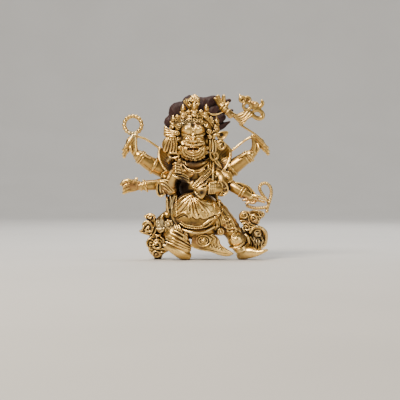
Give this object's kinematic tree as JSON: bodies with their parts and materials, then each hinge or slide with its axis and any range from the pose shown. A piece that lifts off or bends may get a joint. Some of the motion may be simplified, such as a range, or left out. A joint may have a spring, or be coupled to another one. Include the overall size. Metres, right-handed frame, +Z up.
{
  "type": "mahakala figure",
  "caption": "Gilt bronze figure of a stout six-armed wrathful guardian with skull crown, striding with swirling scarves, and holding trident, rosary and noose.",
  "frame": {"origin": "centre of the footprint's bounding box, at the level of the soles", "axes": "+Z up, -Y the way that the figure faces, +X to the viewer's right"},
  "size_m": [0.1528, 0.0495, 0.1657],
  "materials": {
    "figure": "fire-gilt, worn and darkened in the recesses, hair painted dark purplish red",
    "trident": "fire-gilt, worn",
    "rosary": "fire-gilt, worn",
    "noose": "fire-gilt, worn"
  },
  "bodies": {
    "root": {"figure": "figure", "trident": "trident", "rosary": "rosary", "noose": "noose"}
  },
  "joints": []
}
